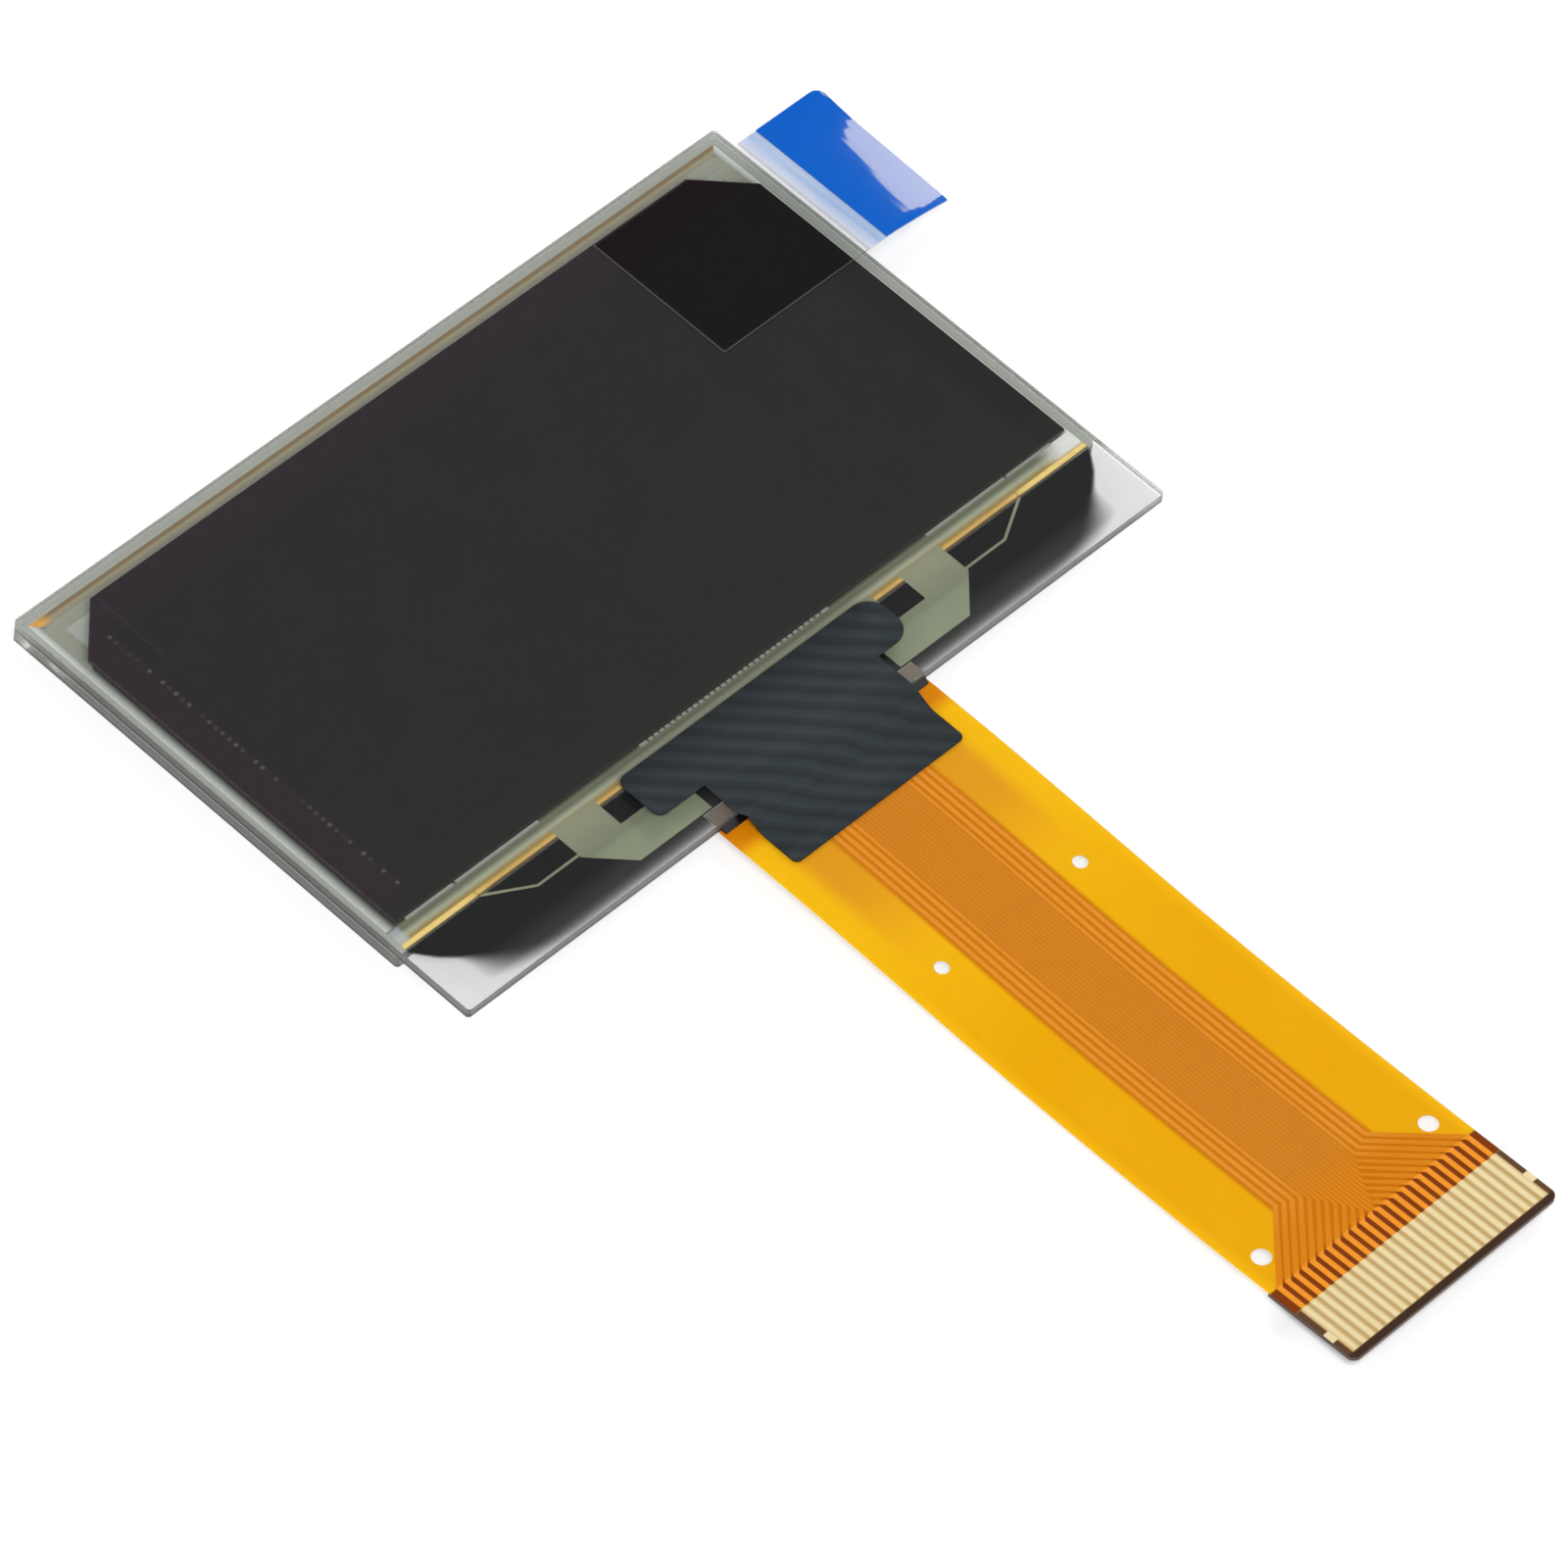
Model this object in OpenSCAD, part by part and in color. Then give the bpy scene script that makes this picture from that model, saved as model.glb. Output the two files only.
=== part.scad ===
// Small OLED display panel with a flexible tail.
// Millimetres, +Z up. The panel lies face up: X runs along its long side, the
// tail leaves towards -Y, and the origin is the centre of the panel's underside.

/* [Glass] */
// Width of both glass plates, along X
glass_w = 42.04; // [36:0.01:60]
// Depth of the front glass, along Y
glass_d = 27.22; // [24:0.01:40]
// Thickness of the front glass, which carries the electrodes on its rear face
front_t = 0.55; // [0.3:0.01:1.1]
// Thickness of the cap glass behind it
cap_t = 0.63; // [0.5:0.01:1.1]
// Depth of the bare ledge that carries the driver chip and the tail
ledge_d = 4.1; // [3.9:0.05:6]
// Corner cut of both plates
glass_corner = 0.25; // [0.1:0.05:0.6]

/* [Seal and cavity] */
// Thickness of the seal between the plates
seal_t = 0.02; // [0.014:0.001:0.05]
// Width of the seal
seal_w = 1.1; // [0.6:0.05:1.6]
// Distance from the plates' edge to the seal
seal_inset = 0.45; // [0.2:0.05:0.8]
// Depth of the pocket etched into the cap glass
pocket_depth = 0.3; // [0.2:0.01:0.4]
// Distance from the seal to the pocket
pocket_margin = 1.2; // [0.6:0.1:2]
// Thickness of the drying sheet in the pocket
desiccant_t = 0.16; // [0.08:0.01:0.18]
// Gap round the drying sheet
desiccant_gap = 0.6; // [0.3:0.1:1.5]
// Gap between the seal and the light-emitting layers
stack_gap = 0.7; // [0.3:0.05:1.2]
// Thickness of the light-emitting layers and their metal electrode
stack_t = 0.008; // [0.004:0.001:0.01]

/* [Front films] */
// Distance from the plates' side and rear edges to the polarizer
polarizer_inset = 0.85; // [0.6:0.05:1.5]
// Extra distance along the rear edge
polarizer_rear = 0.5; // [0:0.05:1.2]
// Distance from the ledge line to the polarizer
polarizer_front = 1.1; // [0.6:0.05:1.5]
// Corner cut of the polarizer, at its two corners away from the tail
polarizer_cut = 2.3; // [1.5:0.1:3.5]
// Thickness of the polarizer
polarizer_t = 0.2; // [0.12:0.01:0.3]
// Distance from the polarizer's edge to the edge of its protective film
film_inset = 0.04; // [0.02:0.01:0.3]
// Thickness of the protective film
film_t = 0.06; // [0.04:0.01:0.1]

/* [Pull tape] */
// Width of the pull tape, along Y
pull_w = 8.0; // [5:0.1:12]
// Length of the pull tape that is stuck down, measured from the film's edge
pull_stuck = 8.1; // [5:0.1:14]
// Length of the tape that stands past the film's edge
pull_free = 5.9; // [4.2:0.1:9]
// Distance from the plates' rear edge to the tape
pull_rear = 1.45; // [0.5:0.05:6]
// Thickness of the pull tape
pull_t = 0.05; // [0.03:0.01:0.1]
// Length of the coloured grip on its end
grip_l = 3.9; // [2.5:0.1:4]
// Thickness of the coloured grip
grip_t = 0.06; // [0.04:0.01:0.15]
// Corner radius of the grip
grip_r = 0.5; // [0.2:0.1:1]
// Radius of the tape's gentle downward bend past the glass
pull_bend_r = 24; // [20:1:60]

/* [Ledge electrodes] */
// Thickness of the printed metal on the glass
metal_t = 0.006; // [0.003:0.001:0.01]
// Distance from the centre line to the outer side of each pad
pad_out = 11.7; // [11:0.1:13]
// Distance from the centre line to the inner side of each pad
pad_in = 5.5; // [5:0.1:6]
// Distance from the ledge line to the pads' far side
pad_reach = 3.1; // [2.7:0.05:3.2]
// Corner cut of the pads
pad_cut = 1.75; // [0.5:0.05:2]
// Near and far side of the window in each pad, from the centre line
window_x = [7.5, 9.2];
// Depth of the window past the ledge line
window_reach = 1.2; // [0.8:0.05:1.6]
// Width of the lone line that runs out from each pad
line_w = 0.13; // [0.08:0.01:0.3]
// Reach of the lone line's level part, from the centre line
line_bend = 14.1; // [13.4:0.1:15]
// Number of fine leads between the chip and the display
lead_count = 32; // [12:1:40]
// Width of a fine lead
lead_w = 0.1; // [0.06:0.01:0.12]

/* [Driver chip] */
// Length of the chip, along X
chip_w = 8.2; // [6:0.1:9]
// Width of the chip, along Y
chip_d = 1.0; // [0.7:0.05:1.2]
// Thickness of the chip
chip_t = 0.3; // [0.15:0.01:0.4]
// Distance from the ledge line to the chip
chip_setback = 1.0; // [0.8:0.05:1.2]
// Thickness of the conductive adhesive film under the chip and the tail
acf_t = 0.012; // [0.006:0.001:0.02]
// Border of the adhesive film round the chip
acf_border = 0.25; // [0.1:0.05:0.35]
// Thickness of the dark resin over the leads
resin_t = 0.1; // [0.05:0.01:0.2]
// Clearance between the resin and its neighbours
resin_gap = 0.06; // [0.03:0.01:0.15]
// Border of bare glass along the panel's edge
resin_border = 0.3; // [0.15:0.05:0.6]
// Bare glass that the resin leaves at each corner of the panel, along X
resin_corner = 3.0; // [1:0.1:5]

/* [Flexible tail] */
// Width of the tail
tail_w = 12.5; // [12.4:0.1:16]
// Length of the tail past the glass
tail_l = 36.2; // [32:0.1:48]
// Length of the tail that is bonded under the glass
bond_l = 0.9; // [0.7:0.05:1.1]
// Thickness of the tail's base film
base_t = 0.05; // [0.025:0.005:0.1]
// Thickness of the copper
copper_t = 0.018; // [0.012:0.001:0.035]
// Thickness of the cover film
cover_t = 0.03; // [0.02:0.005:0.06]
// Corner radius of the tail's tip
tip_r = 0.4; // [0.2:0.1:1]
// Distance from the glass to where the cover film starts
cover_start = 0.35; // [0.2:0.05:0.6]

/* [Tail's hang] */
// Level length next to the glass
level_l = 2.5; // [2.3:0.1:4]
// How far the tail's middle hangs below its bonded end
dip = 0.37; // [0.2:0.01:0.4]
// Distance from the glass to the lowest place
dip_at = 18.5; // [16:0.1:22]
// Upward slope of the stiff end, in degrees
end_slope = 3; // [1:0.5:5]

/* [Contacts] */
// Number of contact fingers
contact_count = 24; // [24:2:24]
// Pitch of the fingers
contact_pitch = 0.5; // [0.4:0.01:0.51]
// Width of a finger
contact_w = 0.35; // [0.25:0.01:0.37]
// Length of the bare fingers
contact_l = 2.9; // [2.5:0.1:4]
// Distance from the tip to the fingers
contact_tip = 0.36; // [0.1:0.01:0.6]
// Thickness of the gold plating on the copper fingers
gold_t = 0.004; // [0.002:0.001:0.01]
// Length of the stiffener
stiffener_l = 4.75; // [4.3:0.05:7]
// Thickness of the stiffener
stiffener_t = 0.2; // [0.1:0.01:0.24]
// Distance from the tip to the plating stubs
stub_tip = 1.2; // [0.8:0.1:1.8]
// Width of a plating stub
stub_w = 0.55; // [0.3:0.05:0.7]

/* [Traces] */
// Number of side lines along each edge of the bus
side_lines = 4; // [2:1:4]
// Pitch of the side lines
side_pitch = 0.37; // [0.34:0.01:0.38]
// Width of a side line
side_w = 0.2; // [0.12:0.01:0.22]
// Pitch of the fine lines in the middle of the bus
fine_pitch = 0.19; // [0.17:0.005:0.195]
// Width of a fine line
fine_w = 0.14; // [0.08:0.01:0.15]
// Distance from the tip to where the lines turn square to it
fan_tip = 4.6; // [4.4:0.1:5.5]
// Width of every line where it runs up to its contact
lead_in_w = 0.25; // [0.15:0.01:0.32]

/* [Tooling holes] */
// Diameter of the holes near the tip
tip_hole_d = 0.9; // [0.6:0.05:1.1]
// Distance of the tip holes from the centre line
tip_hole_x = 5.1; // [4.9:0.05:5.3]
// Distance from the tip to the tip holes
tip_hole_y = 6.2; // [6:0.1:8]
// Diameter of the holes in the middle
mid_hole_d = 0.7; // [0.5:0.05:1]
// Distance of the middle holes from the centre line
mid_hole_x = 4.2; // [4:0.05:5]
// Distance from the glass to the middle holes
mid_hole_y = 11.0; // [8:0.1:16]

/* [Black tape] */
// Thickness of the tape over the joint
tape_t = 0.08; // [0.05:0.01:0.15]
// Half widths of the tape on the ledge, left and right of the centre line
tape_wing = [8.0, 7.3];
// Half widths of the tape where it runs onto the tail
tape_body = [5.35, 5.15];
// Distance from the polarizer to the tape
tape_gap = 0.75; // [0.5:0.05:1.2]
// Depth of the tape's wide part
tape_wing_d = 2.6; // [2:0.05:3]
// Reach of the tape past the glass
tape_reach = 3.35; // [2.4:0.05:6]
// Run of the tape's slope from the glass down to the tail
tape_ramp = 1.1; // [0.8:0.05:1.5]
// Corner radii of the tape's left wing, right wing and tail end
tape_r = [0.45, 1.0, 0.3];
// Reach of the resin bead along the glass edge
bead_reach = 0.45; // [0.3:0.05:0.6]

/* [Hidden] */
$fn = 32;

// A hair that cutting bodies stand past what they cut
cut = 0.5;
half_w = glass_w / 2;
half_d = glass_d / 2;
// The ledge line, where the cap glass and the polarizer's side of the panel end
ledge_y = -half_d + ledge_d;
cap_d = glass_d - ledge_d;
cap_y = ledge_y + cap_d / 2;

// Levels, from the underside up
rear_z = cap_t + seal_t;
top_z = rear_z + front_t;
film_z = top_z + polarizer_t;
pull_z = film_z + film_t;
// Underside of the printed metal, on which the adhesives sit
metal_z = rear_z - metal_t;
// Upper face of the copper where the tail is bonded
joint_z = metal_z - acf_t;

seal_outer = [glass_w - 2 * seal_inset, cap_d - seal_inset];
seal_inner = [seal_outer[0] - 2 * seal_w, seal_outer[1] - 2 * seal_w];
seal_y = ledge_y + seal_outer[1] / 2;
pocket = [seal_inner[0] - 2 * pocket_margin, seal_inner[1] - 2 * pocket_margin];
stack = [seal_inner[0] - 2 * stack_gap, seal_inner[1] - 2 * stack_gap];
// Where the light-emitting layers start, next to the ledge
stack_y = ledge_y + seal_w + stack_gap;

polarizer = [
  glass_w - 2 * polarizer_inset,
  cap_d - polarizer_front - polarizer_inset - polarizer_rear
];
polarizer_y = ledge_y + polarizer_front + polarizer[1] / 2;
film_edge = polarizer[0] / 2 - film_inset;
pull_y = half_d - pull_rear - pull_w / 2;
// The tape starts to bend down where it has cleared the glass
bend_x = half_w + 0.3;
pull_start = film_edge - pull_stuck;
pull_end = film_edge + pull_free;
bend_steps = 10;

chip_y = ledge_y - chip_setback - chip_d / 2;
bond_y = -half_d + bond_l;
// Half width of the room that the pads leave for the fine leads
lead_room = chip_w / 2 + 1.6;
tip_y = -half_d - tail_l;
fan_y = tip_y + fan_tip;
contact_y = tip_y + contact_tip;
contact_end = contact_y + contact_l;
stiffener_end = tip_y + stiffener_l;
path_steps = 20;
fine_lines = contact_count - 2 * side_lines;
fine_half = (fine_lines - 1) / 2 * fine_pitch;
// Place of the innermost side line, as far from its neighbour as the fine lines are
side_first = fine_half + fine_pitch - fine_w / 2 + side_w / 2;

// ---------------------------------------------------------------- plan shapes

// Rectangle with all four corners cut, centred
module cut_plate(w, d, c) {
  polygon([
    [-w / 2 + c, -d / 2], [w / 2 - c, -d / 2],
    [w / 2, -d / 2 + c], [w / 2, d / 2 - c],
    [w / 2 - c, d / 2], [-w / 2 + c, d / 2],
    [-w / 2, d / 2 - c], [-w / 2, -d / 2 + c]
  ]);
}

// Rectangle with the two corners away from the tail cut, centred
module cut_film(w, d, c) {
  polygon([
    [-w / 2, -d / 2], [w / 2, -d / 2], [w / 2, d / 2 - c],
    [w / 2 - c, d / 2], [-w / 2 + c, d / 2], [-w / 2, d / 2 - c]
  ]);
}

// Points of one side of a line that follows a path and has a width at each of
// its points: side is 1 for the left of the path and -1 for the right
function line_side(path, widths, side) = [
  for (i = [0 : len(path) - 1])
    let (
      before = path[max(i - 1, 0)],
      after = path[min(i + 1, len(path) - 1)],
      d_in = i == 0 ? after - path[i] : path[i] - before,
      d_out = i == len(path) - 1 ? path[i] - before : after - path[i],
      u_in = d_in / norm(d_in),
      u_out = d_out / norm(d_out),
      sum = u_in + u_out,
      u = sum / norm(sum),
      reach = widths[i] / 2 / (u * u_in)
    )
    path[i] + side * reach * [-u[1], u[0]]
];

// A line along a path, as one outline: its last run can have a width of its own
module line(path, w, end_w = undef) {
  last = len(path) - 1;
  widths = [for (i = [0 : last]) i < last - 1 || is_undef(end_w) ? w : end_w];
  left = line_side(path, widths, 1);
  right = line_side(path, widths, -1);
  polygon(concat(left, [for (i = [len(right) - 1 : -1 : 0]) right[i]]));
}

// ------------------------------------------------------------ the tail's hang

// Height of the copper's upper face at a distance past the glass
function hang_z(s) =
  s < level_l ? joint_z
  : s < dip_at ? joint_z - dip * (1 - cos(180 * (s - level_l) / (dip_at - level_l))) / 2
  : s < stiff_s ? joint_z - dip + hang_k * pow(s - dip_at, 2)
  : joint_z - dip + hang_k * pow(stiff_s - dip_at, 2) + (s - stiff_s) * tan(end_slope);
// Where the straight stiff end starts, and the curve that leads up to it
stiff_s = tail_l - stiffener_l;
hang_k = tan(end_slope) / (2 * (stiff_s - dip_at));

// The distances at which the tail's layers take a point, between two limits
function stations(s0, s1) = concat(
  [s0],
  [
    for (i = [0 : path_steps])
      let (s = level_l + (stiff_s - level_l) * i / path_steps)
      if (s > s0 + 0.05 && s < s1 - 0.05) s
  ],
  [s1]
);

// A sheet that follows the tail between two distances past the glass, from
// `low` to `high` above the copper's upper face, as wide as needed
module hanging_sheet(s0, s1, low, high, w) {
  s = stations(s0, s1);
  n = len(s) - 1;
  rotate([90, 0, 90])
    linear_extrude(height = w, center = true)
      polygon(concat(
        [for (i = [0 : n]) [-half_d - s[i], hang_z(s[i]) + low]],
        [for (i = [n : -1 : 0]) [-half_d - s[i], hang_z(s[i]) + high]]
      ));
}

// What lies over or under a plan shape, through the tail's whole height
module over_plan() {
  translate([0, 0, joint_z - dip - cut])
    linear_extrude(height = dip + 2 * cut + tail_l * tan(end_slope))
      children();
}

// Outline of the tail, with its tip corners rounded
module tail_outline() {
  translate([-tail_w / 2, tip_y + tip_r])
    square([tail_w, tail_l + bond_l - tip_r]);
  translate([-tail_w / 2 + tip_r, tip_y])
    square([tail_w - 2 * tip_r, tip_r * 2]);
  for (side = [-1, 1])
    translate([side * (tail_w / 2 - tip_r), tip_y + tip_r])
      circle(r = tip_r);
}

// The tooling holes, as cylinders
module tooling_holes() {
  for (side = [-1, 1]) {
    translate([side * tip_hole_x, tip_y + tip_hole_y, 0])
      cylinder(d = tip_hole_d, h = 2 * top_z);
    translate([side * mid_hole_x, -half_d - mid_hole_y, 0])
      cylinder(d = mid_hole_d, h = 2 * top_z);
  }
}

// ---------------------------------------------------------------- glass stack

module front_glass() {
  color("lightcyan", 0.4)
    translate([0, 0, rear_z])
      linear_extrude(height = front_t)
        cut_plate(glass_w, glass_d, glass_corner);
}

module cap_glass() {
  color("lightcyan", 0.5)
    difference() {
      translate([0, cap_y, 0])
        linear_extrude(height = cap_t)
          cut_plate(glass_w, cap_d, glass_corner);
      translate([0, seal_y, cap_t - pocket_depth])
        linear_extrude(height = pocket_depth + cut)
          square(pocket, center = true);
    }
}

module perimeter_seal() {
  color("darkgoldenrod")
    difference() {
      translate([0, seal_y, cap_t])
        linear_extrude(height = seal_t)
          difference() {
            square(seal_outer, center = true);
            square(seal_inner, center = true);
          }
      // The printed pads and leads run through the seal on the front glass
      translate([0, 0, metal_z])
        linear_extrude(height = metal_t + cut) {
          pad_plan(1);
          pad_plan(-1);
          chip_lead_plan();
        }
    }
}

module desiccant_sheet() {
  color("whitesmoke")
    translate([0, seal_y, cap_t - pocket_depth])
      linear_extrude(height = desiccant_t)
        square([pocket[0] - 2 * desiccant_gap, pocket[1] - 2 * desiccant_gap], center = true);
}

module emitting_stack() {
  color("dimgray")
    translate([0, seal_y, rear_z - stack_t])
      linear_extrude(height = stack_t)
        square(stack, center = true);
}

// ---------------------------------------------------------------- front films

module polarizer() {
  color("#2e2e30")
    translate([0, polarizer_y, top_z])
      linear_extrude(height = polarizer_t)
        cut_film(polarizer[0], polarizer[1], polarizer_cut);
}

module protective_film() {
  color("lightgray", 0.4)
    translate([0, polarizer_y, film_z])
      linear_extrude(height = film_t)
        cut_film(polarizer[0] - 2 * film_inset, polarizer[1] - 2 * film_inset, polarizer_cut);
}

// Drop of the pull tape's underside at a distance along X
function pull_drop(x) =
  x < bend_x ? 0 : pull_bend_r - sqrt(pow(pull_bend_r, 2) - pow(x - bend_x, 2));

// A strip that follows the pull tape, from `low` to `high` above its underside
module pull_strip(low, high) {
  x = concat(
    [pull_start],
    [for (i = [0 : bend_steps]) bend_x + (pull_end - bend_x) * i / bend_steps]
  );
  n = len(x) - 1;
  translate([0, pull_y, pull_z])
    rotate([90, 0, 0])
      linear_extrude(height = pull_w, center = true)
        polygon(concat(
          [for (i = [0 : n]) [x[i], low - pull_drop(x[i])]],
          [for (i = [n : -1 : 0]) [x[i], high - pull_drop(x[i])]]
        ));
}

// Plan of the pull tape from a place along X to its end, with one rounded corner
module pull_plan(x0) {
  translate([x0, pull_y - pull_w / 2])
    square([pull_end - x0 - grip_r, pull_w]);
  translate([x0, pull_y - pull_w / 2])
    square([pull_end - x0, pull_w - grip_r]);
  translate([pull_end - grip_r, pull_y + pull_w / 2 - grip_r])
    circle(r = grip_r);
}

module pull_body(x0, low, high) {
  intersection() {
    pull_strip(low, high);
    translate([0, 0, rear_z - cut])
      linear_extrude(height = pull_z)
        pull_plan(x0);
  }
}

module pull_tape() {
  color("lightsteelblue", 0.5)
    pull_body(pull_start, 0, pull_t);
}

module pull_grip() {
  color("royalblue")
    pull_body(pull_end - grip_l, pull_t, pull_t + grip_t);
}

// ----------------------------------------------------------- printed metal

// One supply pad on the ledge with the lone line that runs out from it;
// side is 1 for +X and -1 for -X
module pad_plan(side) {
  far_y = ledge_y - pad_reach;
  line_y = ledge_y - window_reach;
  mirror([side < 0 ? 1 : 0, 0]) {
    difference() {
      polygon([
        [pad_in, stack_y], [pad_out, stack_y],
        [pad_out, far_y + pad_cut], [pad_out - pad_cut, far_y],
        [pad_in, far_y]
      ]);
      translate([window_x[0], ledge_y - window_reach])
        square([window_x[1] - window_x[0], window_reach + seal_w / 2]);
      // Room for the leads of the chip and of the tail
      translate([0, far_y])
        square([lead_room, pad_reach + seal_w + stack_gap]);
    }
    line([
      [pad_out - line_w, line_y],
      [line_bend, line_y],
      [line_bend + 1.8 * window_reach, ledge_y],
      [line_bend + 1.8 * window_reach + seal_w / 2, stack_y]
    ], line_w);
  }
}

module pad_left() {
  color("darkkhaki")
    translate([0, 0, metal_z])
      linear_extrude(height = metal_t)
        pad_plan(-1);
}

module pad_right() {
  color("darkkhaki")
    translate([0, 0, metal_z])
      linear_extrude(height = metal_t)
        pad_plan(1);
}

// Fine leads that fan from the chip to the display
module chip_lead_plan() {
  chip_pitch = (chip_w - 0.6) / (lead_count - 1);
  fan_pitch = 2 * (lead_room - 0.5) / (lead_count - 1);
  for (i = [0 : lead_count - 1])
    let (k = i - (lead_count - 1) / 2)
      line([
        [k * chip_pitch, chip_y + chip_d / 2 - 0.15],
        [k * chip_pitch, chip_y + chip_d / 2 + 0.25],
        [k * fan_pitch, ledge_y - 0.1],
        [k * fan_pitch, stack_y]
      ], lead_w);
}

module chip_leads() {
  color("darkkhaki")
    translate([0, 0, metal_z])
      linear_extrude(height = metal_t)
        chip_lead_plan();
}

// Leads between the tail's bonds and the chip
module tail_leads() {
  chip_pitch = (chip_w - 0.6) / (contact_count - 1);
  color("darkkhaki")
    translate([0, 0, metal_z])
      linear_extrude(height = metal_t)
        for (i = [0 : contact_count - 1])
          let (k = i - (contact_count - 1) / 2)
            line([
              [k * bond_pitch(), -half_d + 0.1],
              [k * bond_pitch(), bond_y],
              [k * chip_pitch, chip_y - chip_d / 2 - 0.25],
              [k * chip_pitch, chip_y - chip_d / 2 + 0.15]
            ], lead_w);
}

// Pitch of the tail's bonds on the glass
function bond_pitch() = 2 * (lead_room - 0.85) / (contact_count - 1);

// ------------------------------------------------------------- ledge parts

module driver_chip() {
  color("dimgray")
    translate([-chip_w / 2, chip_y - chip_d / 2, joint_z - chip_t])
      cube([chip_w, chip_d, chip_t]);
}

module chip_adhesive() {
  color("tan")
    translate([-chip_w / 2 - acf_border, chip_y - chip_d / 2 - acf_border, joint_z])
      cube([chip_w + 2 * acf_border, chip_d + 2 * acf_border, acf_t]);
}

module tail_adhesive() {
  color("tan")
    translate([-tail_w / 2, -half_d, joint_z])
      cube([tail_w, bond_l, acf_t]);
}

// Dark resin that protects the leads, round the chip and beside the tail
module ledge_resin() {
  room = acf_border + resin_gap;
  near_y = ledge_y - resin_gap;
  far_y = -half_d + resin_border;
  color("#1c1c1e")
    translate([0, 0, metal_z - resin_t])
      linear_extrude(height = resin_t)
        difference() {
          // The brushed-on resin draws back towards the corners
          for (side = [0, 1])
            mirror([side, 0])
              polygon([
                [-cut, near_y], [half_w - resin_border, near_y],
                [half_w - 0.4 * resin_corner, near_y - 0.28 * ledge_d],
                [half_w - 0.75 * resin_corner, near_y - 0.45 * ledge_d],
                [half_w - 0.92 * resin_corner, near_y - 0.65 * ledge_d],
                [half_w - resin_corner, far_y + 0.12 * ledge_d],
                [half_w - 1.15 * resin_corner, far_y + 0.04 * ledge_d],
                [half_w - 1.4 * resin_corner, far_y], [-cut, far_y]
              ]);
          translate([-chip_w / 2 - room, chip_y - chip_d / 2 - room])
            square([chip_w + 2 * room, chip_d + 2 * room]);
          translate([-tail_w / 2 - resin_gap, -half_d])
            square([tail_w + 2 * resin_gap, bond_l + resin_gap]);
        }
}

// Bead of resin in the corner between the glass edge and the tail
module edge_bead() {
  color("#1c1c1e")
    rotate([90, 0, 90])
      linear_extrude(height = tail_w - 4 * resin_gap, center = true)
        polygon([
          [-half_d, joint_z],
          [-half_d - min(bead_reach, cover_start - resin_gap), joint_z],
          [-half_d, joint_z + front_t / 2]
        ]);
}

// ----------------------------------------------------------------- black tape

// Plan of the tape: wings on the ledge and a body that runs onto the tail
module tape_plan() {
  tape_y = ledge_y + polarizer_front - tape_gap;
  wing_y = tape_y - tape_wing_d;
  end_y = -half_d - tape_reach;
  rounded_box(-tape_wing[0], wing_y, 0, tape_y, tape_r[0]);
  rounded_box(0, wing_y, tape_wing[1], tape_y, tape_r[1]);
  rounded_box(-tape_body[0], end_y, tape_body[1], tape_y, tape_r[2]);
}

// Rectangle between two corners with round corners
module rounded_box(x0, y0, x1, y1, r) {
  translate([x0 + r, y0])
    square([x1 - x0 - 2 * r, y1 - y0]);
  translate([x0, y0 + r])
    square([x1 - x0, y1 - y0 - 2 * r]);
  for (x = [x0 + r, x1 - r], y = [y0 + r, y1 - r])
    translate([x, y])
      circle(r = r);
}

module black_tape() {
  tape_y = ledge_y + polarizer_front - tape_gap;
  top = [
    for (s = stations(tape_ramp, tape_reach))
      [-half_d - s, hang_z(s) + cover_t]
  ];
  last = len(top) - 1;
  color("darkslategray")
    intersection() {
      rotate([90, 0, 90])
        linear_extrude(height = glass_w, center = true)
          polygon(concat(
            [[tape_y, top_z], [-half_d, top_z]],
            top,
            [for (i = [last : -1 : 0]) top[i] + [0, tape_t]],
            [[-half_d - tape_t, top_z + tape_t], [tape_y, top_z + tape_t]]
          ));
      linear_extrude(height = 2 * top_z)
        tape_plan();
    }
}

// ------------------------------------------------------------ flexible tail

module tail_base() {
  color("orange")
    difference() {
      intersection() {
        hanging_sheet(-bond_l, tail_l, -copper_t - base_t, -copper_t, tail_w);
        over_plan() tail_outline();
      }
      tooling_holes();
    }
}

// Place of a line across the bus and across the contacts
function bus_x(i) =
  i < side_lines ? -side_first - side_pitch * (side_lines - 1 - i)
  : i < side_lines + fine_lines ? (i - (contact_count - 1) / 2) * fine_pitch
  : -bus_x(contact_count - 1 - i);
function contact_x(i) = (i - (contact_count - 1) / 2) * contact_pitch;
function bus_w(i) =
  i < side_lines || i >= side_lines + fine_lines ? side_w : fine_w;

// One line from its bond, along the bus, at 45 degrees to its contact: it widens
// on that slant and stays wide up to the contact
module bus_line(i) {
  bond_x = (i - (contact_count - 1) / 2) * bond_pitch();
  spread = abs(contact_x(i) - bus_x(i));
  fan_in = abs(bond_x - bus_x(i));
  line([
    [bond_x, bond_y],
    [bond_x, -half_d - cover_start],
    [bus_x(i), -half_d - cover_start - fan_in],
    [bus_x(i), fan_y + spread],
    [contact_x(i), fan_y],
    [contact_x(i), contact_end]
  ], bus_w(i), lead_in_w);
}

module copper_traces() {
  color("peru")
    intersection() {
      hanging_sheet(-bond_l, tail_l - contact_tip - contact_l, -copper_t, 0, tail_w);
      over_plan()
        for (i = [0 : contact_count - 1])
          bus_line(i);
    }
}

module cover_film() {
  color("goldenrod", 0.6)
    difference() {
      hanging_sheet(cover_start, tail_l - contact_tip - contact_l, 0, cover_t, tail_w);
      tooling_holes();
    }
}

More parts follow.
